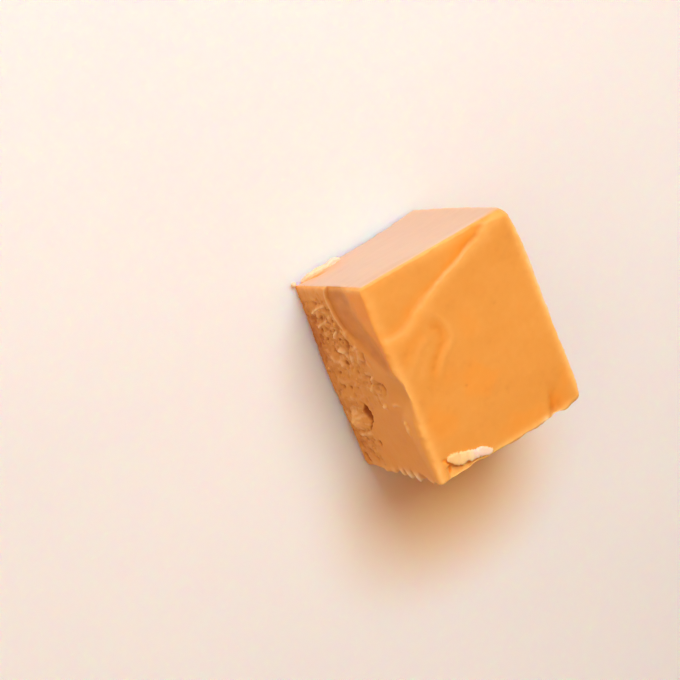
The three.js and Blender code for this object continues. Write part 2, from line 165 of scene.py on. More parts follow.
CRUMBLE_TOP = (
    (0, 13.8), (3, 14.8), (7, 13.4), (10, 12), (12, 11.4), (13.7, 10.6), (15, 8.8), (18, 7.8), (20, 5.4),
    (22, 5.2), (24.5, 8), (26, 11), (28.5, 15), (34, 15.5), (41, 16.5),
)
CRUMBLIEST = (((9.5, 16.6), (7.5, 4.6)), ((19.5, 9.4), (3, 3)), ((29.5, 21.5), (4.5, 4)))
# Painted shade near the foot of the near side, as (place, reach).
PAINTED_FOOT_SHADE = (((9.5, 25), (5.5, 3.2)), ((13.5, 24.5), (12, 5)), ((35.5, 20.8), (3.2, 3)))
SIDE_BITE = ((22, 0), (4.2, 4.6), 1.0)
RIDGES = (
    (0.34, 0.36, ((4, 16), (4.4, 18.3), (5.1, 20.1), (5.9, 22.3))),
    (0.2, 0.4, ((5.3, 19.4), (7.1, 20.8), (9.1, 21.9))),
    (0.25, 0.4, ((7.1, 16.8), (7.5, 19.2), (8.8, 21.6))),
    (0.35, 0.45, ((9.3, 12), (9.9, 12.9))),
    (0.34, 0.42, ((9.3, 15.5), (10.6, 16.6))),
    (0.34, 0.4, ((13, 16.6), (13.2, 15.8), (13.8, 15))),
    (0.4, 0.42, ((14, 15.5), (14.7, 15), (15.4, 14.7))),
    (0.3, 0.36, ((14.3, 13.5), (15.7, 13.7))),
    (0.3, 0.4, ((12.8, 10.1), (14.3, 10.9), (16, 11.4))),
    (0.2, 0.34, ((15.2, 8.6), (16.4, 8.1))),
    (0.25, 0.36, ((11.9, 9.9), (12.6, 11.2), (13, 12.4))),
    (0.34, 0.32, ((18.4, 8.8), (20, 9.7), (21.6, 10.8))),
    (0.4, 0.4, ((24.2, 8.8), (24.9, 8.1))),
    (0.16, 0.4, ((24, 5.8), (24.1, 3.8))),
    (0.24, 0.3, ((27, 3.5), (28.5, 3.7), (30.2, 3.7))),
    (0.3, 0.36, ((33, 22.3), (32.5, 20), (32.2, 18.4))),
    (0.25, 0.4, ((15.7, 18.4), (16.8, 17.1))),
    (0.22, 0.45, ((14.8, 20.8), (15.9, 20))),
    (0.16, 0.36, ((20, 15.5), (21.3, 16.4))),
    (0.16, 0.36, ((23.4, 18.8), (24.6, 19.6))),
)
GROOVES = (
    (0.6, 0.32, ((10.8, 13.9), (11.4, 13.4), (12.1, 13.4))),
    (0.26, 0.32, ((19.9, 9.2), (20, 8), (20, 6.7), (20.6, 6.4), (21.5, 6.6))),
    (0.6, 0.2, ((28.8, 15.9), (29.9, 16.5), (31.5, 17.9))),
    (0.32, 0.26, ((31.5, 17.9), (31.9, 20.5), (32.2, 23))),
    (0.45, 0.3, ((37.8, 24.2), (39.6, 23))),
    (0.25, 0.4, ((13.1, 8.9), (15.2, 9.7))),
    (0.2, 0.5, ((6.3, 17), (7.6, 21.6), (8, 23.4))),
)
PITS = (
    (16.2, 16.2, 0.5, 1.3), (21.7, 18.1, 0.45, 0.5), (18.3, 19.9, 0.45, 0.3), (9.4, 20.6, 0.4, 0.45),
    (9.5, 17.8, 0.45, 0.35), (34, 16.1, 0.5, 1.0), (17.9, 13.6, 0.45, 0.4), (21.5, 20.6, 0.4, 0.3),
    (12.6, 23.2, 0.4, 0.25), (12.6, 13.6, 0.4, 0.5),
)
CAVITY = ((25.2, 15.9), (25.8, 15.2), (27.9, 14.9), (29.2, 15.6), (29.1, 16.4), (28, 17.1), (26.8, 17.3))
CAVITY_DEPTH = 1.5
CAVITY_LUMP = ((29.4, 20.8), (1.6, 2.1), 1.1)

# The torn upright edge stands back, all but its teeth: where each starts, its tip, its end and its length.
TEETH = (
    (0.4, 1.2, 1.6, 0.25), (1.9, 2.7, 6.1, 0.7), (6.1, 7.7, 8.7, 2.0), (8.7, 10.3, 11.3, 1.75),
    (11.4, 12.5, 13.3, 1.3), (14.2, 15.6, 16.3, 0.5), (17, 18.8, 19.4, 0.45), (20.6, 22.4, 23, 0.35),
)
TEETH_REACH = (1.0, 1.2)
TEETH_STAND_BACK = 1.7

# Fine unevenness along every edge of the block: height and wavelength.
EDGE_NOISE = (0.3, 1.5)

# The clean cut end, as (y, down): the groove that the base curl leaves behind it.
CURL_GROOVE = ((1, 24.9), (1.9, 24.6), (3.2, 23.7), (4, 22.8), (5.3, 21.7), (7, 21.2))
CURL_GROOVE_DEPTH = 0.3

# How far the solid reaches past the near clean corner of its top, to the clean and the near side.
CLEAN_OVERHANG = 2.464
NEAR_OVERHANG = 3.222

# Slivers that the knife lifted. The strip on the top has its middle line as (x, y, height, width), and
# the curl along the foot of the clean cut as (y, outward reach, height of its upper face, width).
TOP_SLIVER = (
    (36.1, 2.7, 0.02, 1.9), (37.1, 4.7, 0.07, 2.4), (37.6, 6.4, 0.08, 2.2), (38.1, 7.9, 0.07, 1.9),
    (38.2, 9, 0.07, 1.9), (38.7, 10.1, 0.05, 1.7), (39.4, 11.8, 0, 1.5),
)
TOP_SLIVER_ACROSS = (0.93, -0.37, 0)
TOP_SLIVER_THICKNESS = 0.7
BASE_CURL = (
    (0.4, 0.6, 1.0, 1.3), (1.8, 0.9, 1.6, 1.5), (3.4, 0.95, 2.1, 1.5), (5, 0.9, 2.4, 1.5),
    (6.5, 0.95, 2.6, 1.6), (7.6, 0.95, 2.5, 1.9), (8.6, 0.7, 2.4, 1.9), (9.6, 0.35, 2.2, 1.7),
)
BASE_CURL_ACROSS = (-0.89, 0, 0.45)
BASE_CURL_THICKNESS = 1.2
CORNER_BLOB = ((-0.8, -1.35, 0.6), 0.52)

# How pale they are: the strip as (y, cream), and those on the clean cut, which end at CLEAN_CUT_SIDE
# along x, as cream at the near side, what the far side adds, and where along y that starts and is whole.
TOP_SLIVER_CREAM = ((3, 0.55), (6, 0.8), (8, 1.5))
BASE_CURL_CREAM = (1.25, 0.35, 4, 8)
CLEAN_CUT_SIDE = 5

# How light spreads inside caramel: red furthest. The reach is 1.4 mm in the block and 0.6 mm in a crumb.
CARAMEL_IOR = 1.46
CARAMEL_SCATTER = (1.0, 0.42, 0.12)
BLOCK_SCATTER_REACH = 1.4
CRUMB_SCATTER_REACH = 0.6

# The floor, in metres from its middle to its sides, and how light spreads inside it, in mm.
FLOOR_HALF = 1.5
FLOOR_SCATTER = (1.0, 0.3, 0.08)
FLOOR_SCATTER_REACH = 20

# A painted warm shadow on the floor beyond the torn end, standing in for the warm light that comes off the
# block: middle and reach, in mm.
PAINTED_SHADOW_AT = (33, -2)
PAINTED_SHADOW_REACH = (29, 39)

# The lights, as (direction, side in m, power in W, colour), at one distance from a point in the block.
KEY = ((-0.58, 0.2, 0.8), 0.48, 7.04, (0.872, 0.95, 1))
FILL = ((-0.4, -0.72, 0.56), 0.8, 1.92, (1, 0.92, 0.84))
LIGHT_DISTANCE = 0.8
LIGHT_AIM = (0, 0, 0.012)
SURROUND_COLOUR = (1, 0.72, 0.48, 1)

CAMERA_FROM_CORNER = (-38.97, -69.78, 151.75)  # mm, from the near clean corner of the top
SENSOR_WIDTH = 36


# ---------------------------------------------------------------- sizes and colours a user may change


def length(name, text, millimetres):
    """A length property, shown in Blender's units."""
    return FloatProperty(
        name=name, description=text, default=millimetres * MM, unit="LENGTH", precision=5
    )


def angle(name, text, degrees):
    """An angle property, shown in degrees."""
    return FloatProperty(name=name, description=text, default=math.radians(degrees), subtype="ANGLE")


def tint(name, text, rgb):
    """A colour property."""
    return FloatVectorProperty(
        name=name, description=text, default=rgb, size=3, min=0, max=1, subtype="COLOR"
    )


class FudgeBlockSizes(bpy.types.PropertyGroup):
    """The block before it was worn and torn."""

    length: length("Length", "From the clean cut end to the torn end, along the top", 40.4)
    width: length("Width", "From the crumbled side to the far side, along the top", 33.8)
    thickness: length("Thickness", "Depth of the slab the block was cut from", 25.4)
    edge_radius: length("Edge radius", "Rounding of the top and upright edges", 0.45)
    base_radius: length("Base radius", "Rounding of the edges round the flat base", 0.4)
    pitch: length("Pitch", "Spacing of the surface points before thinning", 0.18)
    pitch_across: length("Pitch across", "Spacing of the surface points along the width", 0.26)
    triangles: IntProperty(
        name="Triangles", description="Most triangles kept in the finished block", default=186000, min=1000
    )


class FudgeCrumbSizes(bpy.types.PropertyGroup):
    """Crumbs fused to the torn faces."""

    count: IntProperty(name="Count", description="Places tried for a crumb", default=900, min=0)
    smallest: length("Smallest", "Radius of the smallest crumbs", 0.12)
    largest: length("Largest", "Radius of the largest crumbs", 0.42)
    seed: IntProperty(name="Seed", description="Picks another scatter of crumbs", default=7)


class FudgeColours(bpy.types.PropertyGroup):
    """Colours and gloss of the caramel."""

    caramel: tint("Caramel", "Colour of the poured top", (0.775, 0.297, 0.049))
    honey: tint("Honey", "Lighter streaks and thin edges", (0.95, 0.45, 0.115))
    # Honey also paints highlights: on the rims, on lit crests and on the lit band of the near side.
    toffee: tint("Toffee", "Brown of the crumbled side", (0.71, 0.29, 0.067))
    # Cream is the dry rims and slivers, and also paints highlights on crests, ledges, lumps and crowns.
    cream: tint("Cream", "Dry rims, slivers and crests", (0.93, 0.60, 0.30))
    # Amber is the deeper orange of the swirls, and also paints shade in cracks, creases and grooves and light
    # on the near side's upper band.
    amber: tint("Amber", "Deeper orange of swirls and cracks", (0.90, 0.275, 0.018))
    # Milk is the palest ends of the slivers, partly a painted highlight.
    milk: tint("Milk", "Palest, driest ends of the slivers", (0.93, 0.60, 0.45))
    shade: tint("Shade", "Deepens the hollows and pits", (0.66, 0.45, 0.32))
    # Blush is partly the dry bloom of the clean cut, partly a painted reflection of the bright floor.
    blush: tint("Blush", "Pale bloom of the clean cut", (0.65, 0.387, 0.252))
    roughness: FloatProperty(name="Roughness", description="Of the poured top", default=0.42, min=0, max=1)


class FudgeStageSizes(bpy.types.PropertyGroup):
    """Floor, lights and camera."""

    azimuth: angle("Azimuth", "Turn of the view about the upright axis", 35.83)
    elevation: angle("Elevation", "Height of the camera above the horizon", 63.11)
    roll: angle("Roll", "Turn of the camera about its own view line", 98.71)
    lens: FloatProperty(name="Lens", description="Focal length on a 36 mm sensor", default=52.94)
    key_light: FloatProperty(name="Key light", description="Strength of the soft lights", default=1.0)
    surround: FloatProperty(name="Surround", description="Brightness of the pale surround", default=0.34)
    floor: tint("Floor", "Colour of the floor", (0.83, 0.745, 0.70))
    # Painted warm shadow on the floor beyond the torn end.
    cast: tint("Cast", "Tint that the block casts on the floor beyond its torn end", (1, 0.66, 0.30))


def base_corner():
    """The foot of the plumb line from the near clean corner of the top, in the frame, in metres."""
    low, _ = cad_box
    return np.array((low.x + CLEAN_OVERHANG * MM, low.y + NEAR_OVERHANG * MM, 0))


def placed(points):
    """Points of the block in mm, brought to their place in the frame and kept above the floor."""
    points = points * MM + base_corner()
    points[:, 2] = np.maximum(points[:, 2], 0)
    return points


def size_in_mm(sizes):
    """Length, width and thickness of the block."""
    return np.array([sizes.length, sizes.width, sizes.thickness]) / MM


# ---------------------------------------------------------------- shapes used by the relief


def bell(distance, reach):
    """1 at no distance, fading smoothly past its reach."""
    return np.exp(-((distance / reach) ** 2))


def ramp(value, low, high):
    """0 below low, 1 above high and smooth between."""
    t = np.clip((value - low) / (high - low), 0, 1)
    return t * t * (3 - 2 * t)


def profile(u, rows):
    """Value at u of the line through rows of (u, value)."""
    return np.interp(u, *zip(*rows))


def mound(u, v, at, reach):
    """A smooth mound of height 1 round a point of a face."""
    return np.exp(-(((u - at[0]) / reach[0]) ** 2) - ((v - at[1]) / reach[1]) ** 2)


def follow(u, v, path):
    """Distance from a path, share of the way along it, and the side: 1 on the left of its run, else -1."""
    distance = np.full(u.shape, np.inf)
    along = np.zeros(u.shape)
    side = np.ones(u.shape)
    for i, (start, end) in enumerate(zip(path, path[1:])):
        run = np.subtract(end, start)
        t = np.clip(((u - start[0]) * run[0] + (v - start[1]) * run[1]) / (run @ run), 0, 1)
        du, dv = u - start[0] - t * run[0], v - start[1] - t * run[1]
        here = np.hypot(du, dv)
        nearer = here < distance
        distance = np.where(nearer, here, distance)
        along = np.where(nearer, (i + t) / (len(path) - 1), along)
        side = np.where(nearer, np.sign(run[0] * dv - run[1] * du), side)
    return distance, along, side


def stroke(u, v, path, width):
    """1 on a path, fading across it and towards its ends."""
    distance, along, _ = follow(u, v, path)
    return bell(distance, width) * ramp(along, -0.05, 0.15) * (1 - ramp(along, 0.8, 1.1))


def outside_polygon(u, v, corners):
    """How far a point lies outside a convex polygon, negative inside it."""
    reach = np.full(u.shape, -np.inf)
    for start, end in zip(corners, corners[1:] + corners[:1]):
        run = np.subtract(end, start)
        run = run / np.hypot(*run)
        reach = np.maximum(reach, (u - start[0]) * run[1] - (v - start[1]) * run[0])
    return reach


def fractal(points, wavelength, octaves, seed):
    """Cloudy noise from about -1 to 1."""
    return np.array([noise.fractal(p, 1.0, 2.0, octaves) for p in (points / wavelength + seed).tolist()])


def grains(points, size, seed):
    """Rounded grains from 0 in the gaps to 1 on their crowns."""
    nearest = [noise.voronoi(p)[0][0] for p in (points / size + seed).tolist()]
    return 1 - np.clip(np.array(nearest), 0, 1)


# ---------------------------------------------------------------- relief of each face


# Besides colour, the masks carry painted highlight and painted shade.
MASKS = ("crumbled", "tone", "glow", "cream")  # colour masks that the relief works out


class Face:
    """A face's points in mm, and what its relief adds to them: height out of the face and masks."""

    def __init__(self, points, thickness):
        self.points = points
        self.x, self.y, self.down = points[:, 0], points[:, 1], thickness - points[:, 2]
        for name in ("height", *MASKS):
            setattr(self, name, np.zeros(len(points)))

    def add(self, mark, **amounts):
        """Adds a mark to the height and to the masks named, in the amounts given."""
        for name, amount in amounts.items():
            setattr(self, name, getattr(self, name) + amount * mark)


def fold_and_swirl(face):
    """The low step across the poured top, with a painted highlight along its crest and painted shade in the
    crease below it, and the swirl beside it.
    """
    x, y = face.x, face.y
    distance, _, side = follow(x, y, FOLD_PATH)
    beyond = distance * side + 0.2 * fractal(face.points, 2.6, 3, 4.1)
    spread = 1 + 0.8 * ramp(y, 20, 27) + 0.6 * (1 - ramp(y, 8, 14))
    step = ramp(beyond / spread, -0.5, 0.5)
    lip = bell(beyond / spread - 0.55, 0.55)
    valley = bell(beyond / spread + 0.7, 0.8)
    face.height += FOLD_STEP * step * bell(np.maximum(beyond, 0), FOLD_FADE)
    face.height += FOLD_LIP * lip - FOLD_VALLEY * valley
    # Painted highlight: the crest of the step is painted lighter.
    painted_crest_highlight = ramp(beyond, -0.3, 0.5) * bell(np.maximum(beyond - 0.5, 0), spread)
    face.tone += (0.5 + 0.45 * ramp(y, 0.5, 3.5)) * painted_crest_highlight
    upper = ramp(y, 13, 20)
    # Painted shade: the crease below the step is painted darker and a deeper orange.
    face.tone -= 0.3 * upper * bell(beyond + 0.6, 0.6)
    face.glow += (0.25 + 0.35 * upper) * bell(beyond / spread + 0.7, 0.6)
    face.glow += 0.35 * upper * bell(beyond + 2, 1.6)
    for height, lightness, width, path in SWIRL:
        tone = (0.6 if lightness > 0 else 0.4) * lightness
        face.add(stroke(x, y, path, width), height=height, tone=tone, glow=0.6 * max(0, -lightness))


def poured_top(face):
    """Fold, swirl, sunk far corner, broken edge and spots of the poured top."""
    fold_and_swirl(face)
    x, y, points = face.x, face.y, face.points
    (from_x, whole_x), (from_y, slant), (fade, end), depth = TOP_DENT
    behind = y - from_y - slant * (x - 36)
    dent = ramp(behind, -0.4, 1.2) * (1 - ramp(y, fade, end)) * ramp(x, from_x, whole_x)
    # Painted shade: the sunk corner is painted darker and a deeper orange, most at its near end.
    face.add(dent, height=-depth, tone=0.5 * ramp(y, 26, 30) - 0.6, glow=0.8)
    at, reach, height = TOP_BUMP
    face.add(mound(x, y, at, reach), height=height, cream=1.8)
    from_y, whole, until, end = BROKEN_EDGE_Y
    broken = ramp(x, *BROKEN_EDGE_X) * ramp(y, from_y, whole) * (1 - ramp(y, until, end))
    face.add(broken, height=-BROKEN_EDGE_DEPTH, tone=1.3)
    face.height += broken * 0.14 * fractal(points, 0.9, 3, 4.4)
    # Painted shade: the crack is painted darker and a deeper orange.
    crack = bell(follow(x, y, TOP_CRACK)[0], 0.3)
    face.add(crack, height=-0.3, tone=-1.5 * broken, glow=1.3)
    for spot_x, spot_y, radius, depth in TOP_SPOTS:
        spot = mound(x, y, (spot_x, spot_y), (radius, radius))
        face.add(spot, height=-0.4 * depth, tone=-1.6 * depth)
    face.height += 0.1 * fractal(points, 9, 2, 3.3) + 0.02 * fractal(points, 1.6, 3, 8.1)
    face.tone += 0.2 * fractal(points * (1, 0.5, 1), 5, 3, 6.6) + 0.17 * fractal(points, 1.3, 3, 2.6)
    face.glow += 0.35 * ramp(fractal(points, 8, 2, 0.7), 0, 0.5)


def rough_ground(points, seed):
    """Crumbly relief in mm: lumps, flakes drawn out downwards, grains and broken-out holes."""
    drawn = points * (1, 1, 0.6)
    lumps = fractal(drawn, 2.2, 4, 5.7 + seed)
    fine = fractal(drawn, 0.75, 3, 1.9 + seed)
    crowns = grains(drawn, 0.9, 4.2 + seed) - 0.55
    holes = ramp(fractal(points, 1.5, 3, 3.1 + seed), 0.25, 0.5)
    return 0.28 * lumps + 0.18 * fine + 0.22 * crowns - 0.35 * holes


def smooth_upper_side(face):
    """The swollen band below the top edge, painted brighter and deeper orange as if lit from above, the paler
    band beside it, and the hollow, painted in shade, with a painted highlight on its crisp ledge.
    """
    x, down = face.x, face.down
    band_end = profile(x, BAND_END)
    past = np.maximum(down - 0.6 * band_end, 0)
    face.height += 1.1 * profile(x, NEAR_SWELL) * bell(past, 1.2 + 0.3 * band_end)
    at, reach, height = FOOT_SWELL
    face.add(mound(x, down, at, reach), height=height)
    # Painted light: the upper band, which faces more upwards, is painted brighter and a deeper orange.
    band = (1 - ramp(down - band_end, -2.6, 2)) * (1 - ramp(x, 14, 19))
    face.add(band, glow=1, tone=0.45)
    pale = (1 - ramp(down - profile(x, PALE_END), -1, 0.6)) * ramp(x, 20, 26)
    face.add(pale, height=0.08, tone=0.6)
    above = profile(x, LEDGE) - down
    hollow = ramp(down - band_end, -2.4, 3.2) * ramp(above, 0.05, 0.5 + 2 * ramp(x, 8.5, 12))
    face.height -= HOLLOW_DEPTH * hollow * (1 - ramp(x, 11, 17))
    # Painted shade: the hollow is painted darker.
    face.tone -= 0.45 * hollow * ramp(x, 0.1, 1.4) * (1 - ramp(x, 15, 21))
    # Painted highlight: the lip of the ledge is painted pale.
    rim = bell(follow(x, down, LEDGE)[0], 0.22) * ramp(x, -0.5, 0.6) * (1 - ramp(x, 8, 10))
    face.add(rim, height=LEDGE_HEIGHT, cream=0.8 * rim)


def crumble(face):
    """Crumbs, holes, pale flakes and dark specks below the smooth part, with painted highlight on the crowns
    and painted shade in the holes.
    """
    x, down, points = face.x, face.down, face.points
    below = down - profile(x, CRUMBLE_TOP)
    share = ramp(below + 0.8 * fractal(points, 2.5, 2, 1.1), -0.3, 1.4 + 1.8 * ramp(x, 12, 18))
    share *= 0.3 + 0.7 * ramp(x, 1.2, 3.4)
    rougher = sum(mound(x, down, at, reach) for at, reach in CRUMBLIEST)
    share *= 0.35 + 0.65 * np.clip(1.2 * rougher, 0, 1)
    rough = 0.92 * rough_ground(points, 0)
    smooth = 0.05 * fractal(points, 3.5, 2, 2.2) + 0.02 * fractal(points, 0.9, 3, 7.2)
    face.height += share * rough + (1 - share) * smooth
    face.crumbled = share
    flakes = ramp(fractal(points * (1, 1, 0.55), 1.2, 4, 9.4), 0.12, 0.6)
    specks = ramp(fractal(points, 0.8, 3, 5.2), 0.4, 0.7)
    # Painted light and shade: the crowns of the crumbs are painted lighter and paler, the holes darker.
    tone = np.clip(1.9 * rough, -1.1, 0.65) + 0.25 * flakes - 0.5 * specks
    face.add(share, tone=tone, cream=0.2 * ramp(rough, 0.15, 0.4) + 0.38 * flakes)
    face.tone += 0.2 * fractal(points * (1, 1, 0.6), 2.4, 4, 3.7)
    # Painted shade: darker near the foot, where less light reaches.
    for at, reach in PAINTED_FOOT_SHADE:
        face.add(mound(x, down, at, reach), tone=-0.4)


def single_marks(face):
    """The bite out of the top edge, and the ridges, grooves, pits and cavity that have a place, with painted
    highlights on the ridges and the lump and painted shade in the grooves, pits and cavity.
    """
    x, down, points = face.x, face.down, face.points
    torn_x = x + 0.3 * fractal(points, 1.4, 2, 8.8)
    torn_down = down + 0.3 * fractal(points, 1.4, 2, 0.6)
    uneven = np.clip(1 + 1.2 * fractal(points, 1.1, 2, 6.1), 0.2, 1.9)
    at, reach, depth = SIDE_BITE
    face.add(mound(x, down, at, reach), height=-depth)
    # Painted highlight: the ridges are painted paler and lighter.
    for height, width, path in RIDGES:
        mark = stroke(torn_x, torn_down, path, width) * uneven
        face.add(mark, height=1.2 * height, cream=1.8 * height, tone=height)
    # Painted shade: the grooves are painted darker.
    for depth, width, path in GROOVES:
        mark = stroke(torn_x, torn_down, path, width)
        face.add(mark, height=-depth, tone=-2.2 * depth, cream=-0.8 * face.cream)
    # Painted shade: the pits are painted darker.
    for pit_x, pit_down, radius, depth in PITS:
        pit = mound(torn_x, torn_down, (pit_x, pit_down), (radius, radius * 0.85)) ** 1.4
        face.add(pit, height=-depth, tone=-min(2.4, 3.2 * depth), cream=-0.9 * face.cream)
    wall = 1 - ramp(outside_polygon(torn_x, torn_down, CAVITY), -0.2, 0.2)
    at, reach, height = CAVITY_LUMP
    lump = mound(x, down, at, reach) * (1 - wall)
    # Painted highlight: the lump is painted lighter and paler.
    face.add(lump, height=height, tone=1.5, cream=0.35 * lump)
    # Painted shade: the cavity is painted dark.
    face.add(wall, height=-CAVITY_DEPTH, tone=-face.tone - 2, cream=-face.cream)


def crumbled_side(face):
    """The near side: smooth above and crumbled below."""
    smooth_upper_side(face)
    crumble(face)
    single_marks(face)


def clean_cut(face):
    """The end that the knife cut cleanly, with a faint drag and the groove behind the base curl, painted in
    warm orange shade.
    """
    y, down, points = face.y, face.down, face.points
    distance, along, _ = follow(y, down, CURL_GROOVE)
    groove = bell(distance, 0.8) * (1 - ramp(along, 0.6, 1))
    # Painted shade: the groove under the curl, and the foot of the cut beside it, are painted a warm deeper
    # orange.
    face.add(groove, height=-CURL_GROOVE_DEPTH, glow=0.75, tone=0.6)
    face.add(mound(y, down, (6, 22), (6, 3)), glow=0.5)
    face.height += 0.22 * np.sin(y / 5.2 + 0.4) * ramp(down, 0, 3)
    face.height += 0.03 * fractal(points * (1, 0.35, 1), 2.2, 3, 6.4)
    face.tone += 0.2 * fractal(points, 4, 3, 6.9) + 0.1 * fractal(points, 1.1, 3, 1.2)


def torn_end(face):
    """The end that tore open: waves, crumbs and a few smoother patches, with painted highlight on the crowns
    and painted shade in the holes.
    """
    y, down, points = face.y, face.down, face.points
    lumps = fractal(points, 3.4, 3, 9.1)
    share = 0.35 + 0.65 * ramp(lumps, -0.25, 0.4)
    rough = rough_ground(points, 7.3)
    face.height += (1 - ramp(down, 0, 7)) * profile(y, TORN_EDGE)
    wave = TORN_WAVE * np.sin(y / 3.9 + 2.2) * bell(down - 8, 14)
    face.height += ramp(down, 2, 10) * (TORN_BULGE + wave + 0.3 * lumps)
    face.height += (0.25 + 0.75 * ramp(down, 0.3, 2.5)) * share * rough
    face.crumbled = share * ramp(down, 0.4, 2.5)
    # Painted light and shade: the crowns are painted lighter, the holes darker.
    face.add(face.crumbled, tone=np.clip(1.3 * rough + 0.3 * lumps, -0.6, 0.5))


def far_side(face):
    """The far side: a plain cut, a little dragged."""
    x, down = face.x, face.down
    drag = fractal(face.points * (0.4, 1, 1.5), 1.8, 3, 3.9)
    face.add(drag, height=0.05, tone=0.25)
    face.height += 0.2 * np.sin(x / 7.3) - 0.35 * mound(x, down, (26, 0), (2.2, 5))


def edge_teeth(points, size):
    """How far the torn upright edge stands out past the block, where its teeth are."""
    across = bell(np.maximum(points[:, 1], 0), TEETH_REACH[0]) * bell(size[0] - points[:, 0], TEETH_REACH[1])
    down = size[2] - points[:, 2]
    reach = np.zeros(len(points))
    for start, tip, end, length in TEETH:
        reach += length * ramp(down, start, tip) ** 1.3 * (1 - ramp(down, tip, end))
    stand_back = TEETH_STAND_BACK * ramp(down, 0, 7) * (1 - ramp(down, 11, 17))
    return reach * across, stand_back * across


# ---------------------------------------------------------------- the block's mesh


def lattice_shell(counts):
    """Points on the surface of a unit box, as shares of its sides, and its outward quads."""
    sides = [(axis, end) for axis in range(3) for end in (0, -1)]
    shell = np.zeros([n + 1 for n in counts], bool)
    for axis, end in sides:
        np.moveaxis(shell, axis, 0)[end] = True
    number = np.full(shell.shape, -1)
    number[shell] = np.arange(shell.sum())
    quads = []
    for axis, end in sides:
        sheet = np.moveaxis(number, axis, 0)[end]
        corners = (sheet[:-1, :-1], sheet[1:, :-1], sheet[1:, 1:], sheet[:-1, 1:])
        rows = np.stack([c.ravel() for c in corners], 1)
        quads.append(rows[:, ::-1] if (end == 0) != (axis == 1) else rows)
    return np.argwhere(shell) / counts, np.concatenate(quads)


def corner_shift(points, size):
    """How far points of the plain box move to follow the corners of the hand-cut block."""
    u, v, w = (points / size).T
    moved = np.zeros(points.shape)
    for side_x, side_y, side_z, shift in CORNER_SHIFTS:
        weight = (u if side_x else 1 - u) * (v if side_y else 1 - v) * (w if side_z else 1 - w)
        moved += weight[:, None] * np.array(shift)
    return moved


def carve_block(shares, sizes):
    """Moves points of the unit box to their places on the fudge, and works out their colour masks."""
    size = size_in_mm(sizes)
    points = shares * size
    radius = np.full(len(points), sizes.edge_radius / MM)
    for place, reach, extra in WORN:
        gap = (points - np.multiply(place, size)) / reach
        radius += extra * np.exp(-(gap**2).sum(1))
    base = sizes.base_radius / MM
    radius = base + (radius - base) * ramp(points[:, 2], 0, 4)
    inner = np.clip(points, radius[:, None], size - radius[:, None])
    facing = points - inner
    facing /= np.linalg.norm(facing, axis=1)[:, None]
    points = inner + facing * radius[:, None]

    moved = points + corner_shift(points, size)
    masks = {name: np.zeros(len(points)) for name in (*MASKS, "clean", "rim")}
    faces = (
        (0, -1, clean_cut), (0, 1, torn_end), (1, -1, crumbled_side), (1, 1, far_side), (2, 1, poured_top)
    )
    for axis, way, relief in faces:
        share = np.maximum(way * facing[:, axis], 0) ** 2
        mine = share > 1e-4
        face = Face(points[mine], size[2])
        relief(face)
        moved[mine, axis] += way * share[mine] * face.height
        for name in MASKS:
            masks[name][mine] += share[mine] * getattr(face, name)
        if relief is clean_cut:
            masks["clean"] = ramp(share, 0.55, 0.97)
    teeth, stand_back = edge_teeth(points, size)
    moved[:, 0] += teeth - stand_back
    # Paler on the teeth; painted shade where the edge stands back behind them.
    masks["cream"] += 0.8 * teeth
    masks["tone"] -= 0.5 * np.clip(stand_back - teeth, 0, 1)
    masks["rim"] = rim_share(points, size)
    edge = 1 - (facing**4).sum(1)
    height, wavelength = EDGE_NOISE
    moved += (edge * height * fractal(points, wavelength, 3, 7.7))[:, None] * facing
    return moved, masks


def rim_share(points, size):
    """How pale the fudge is painted along each edge of the block: partly its paler worn rim, partly a painted
    highlight and painted light through the thin edge.

    Each edge has its reach on its first face, its reach on the second, and its strength.
    """
    x, y, z = points.T
    gaps = {"clean": x, "torn": size[0] - x, "near": y, "far": size[1] - y, "top": size[2] - z}
    strengths = {
        ("near", "top"): (0.5, 1.5, 0.5 + 0.8 * ramp(x, 13, 20)),
        ("clean", "top"): (0.7, 1.3, 0.5 + 0.4 * bell(y - 17, 5)),
        ("far", "top"): (0.9, 1.3, 2.0),
        ("torn", "top"): (1.0, 1.0, 0.8 + 0.7 * ramp(y, 10, 13)),
        ("clean", "near"): (0.2, 0.9, 1.2),
        ("torn", "near"): (0.9, 0.8, 0.6),
        ("clean", "far"): (1.0, 1.0, 0.6),
        ("torn", "far"): (1.0, 1.0, 0.6),
    }
    rim = np.zeros(len(points))
    for (one, other), (reach, other_reach, strength) in strengths.items():
        rim = np.maximum(rim, strength * bell(gaps[one], other_reach) * bell(gaps[other], reach))
    return rim * ramp(z, 0, 2) * np.clip(1 + 0.4 * fractal(points, 1.6, 3, 2.9), 0, 1.4)


def new_object(name, data):
    """An object at the origin, linked to the scene."""
    obj = bpy.data.objects.new(name, data)
    bpy.context.collection.objects.link(obj)
    return obj


def mesh_object(name, points, faces):
    """A mesh object at the origin, with its place in its mesh, from points in metres."""
    mesh = bpy.data.meshes.new(name)
    mesh.from_pydata(points.tolist(), [], [list(f) for f in faces])
    mesh.validate()
    return new_object(name, mesh)


def baked(obj, name):
    """A plain mesh object of what obj's modifiers make. obj is removed."""
    graph = bpy.context.evaluated_depsgraph_get()
    mesh = bpy.data.meshes.new_from_object(obj.evaluated_get(graph))
    mesh.name = name
    bpy.data.objects.remove(obj)
    return new_object(name, mesh)


